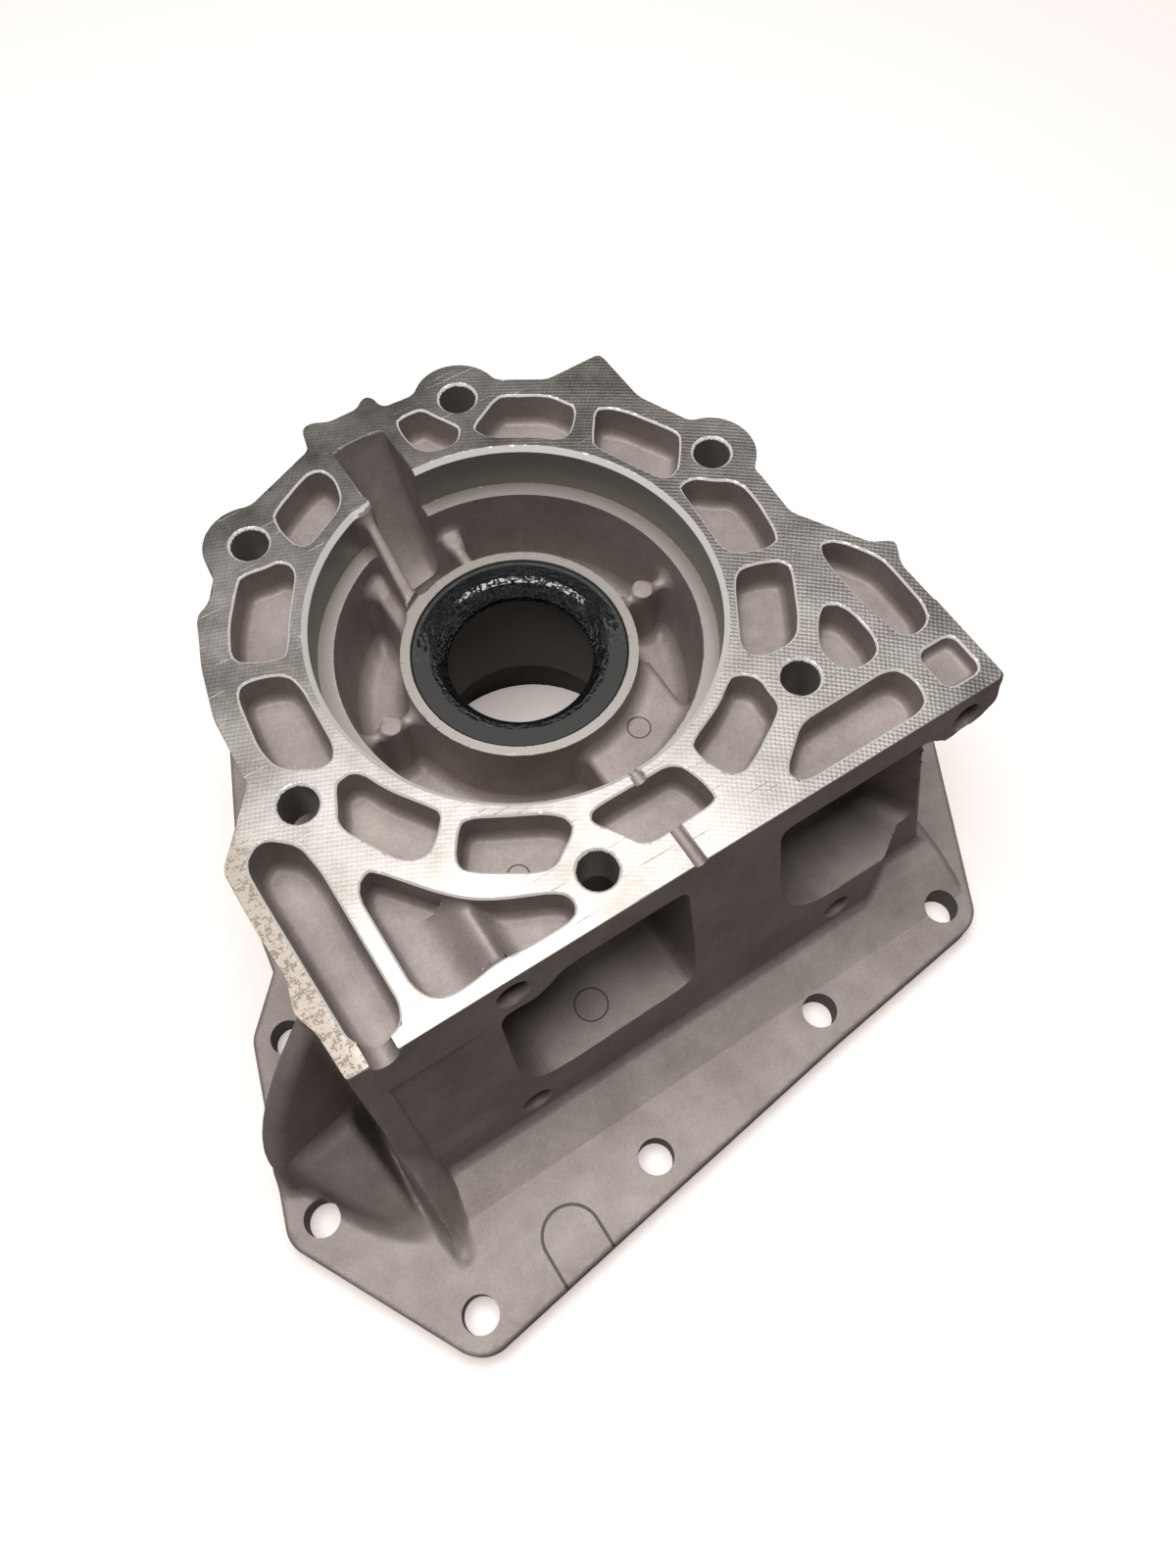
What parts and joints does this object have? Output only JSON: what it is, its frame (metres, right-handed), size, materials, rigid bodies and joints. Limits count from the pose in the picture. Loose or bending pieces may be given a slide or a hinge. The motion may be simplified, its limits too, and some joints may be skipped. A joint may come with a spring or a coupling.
{
  "type": "transmission extension housing",
  "caption": "Cast aluminium extension housing that joins a longitudinal gearbox to a transfer case, with a bolted deck, bell flange, mount pad and pressed shaft seal.",
  "frame": {"origin": "on the bore axis at the bell flange face", "axes": "+Z along the bore towards the machined deck, +X along the straight front edge of the deck, the mount pad faces -Y"},
  "size_m": [0.2699, 0.2669, 0.104],
  "materials": {
    "cast_aluminium": "as-cast grey with milled faces",
    "seal_cover": "matte moulded rubber over steel",
    "seal_rubber": "greased glossy rubber",
    "spring_steel": "drawn wire"
  },
  "bodies": {
    "root": {"housing": "cast_aluminium", "seal_case": "seal_cover", "seal_lip": "seal_rubber", "garter_spring": "spring_steel"}
  },
  "joints": []
}
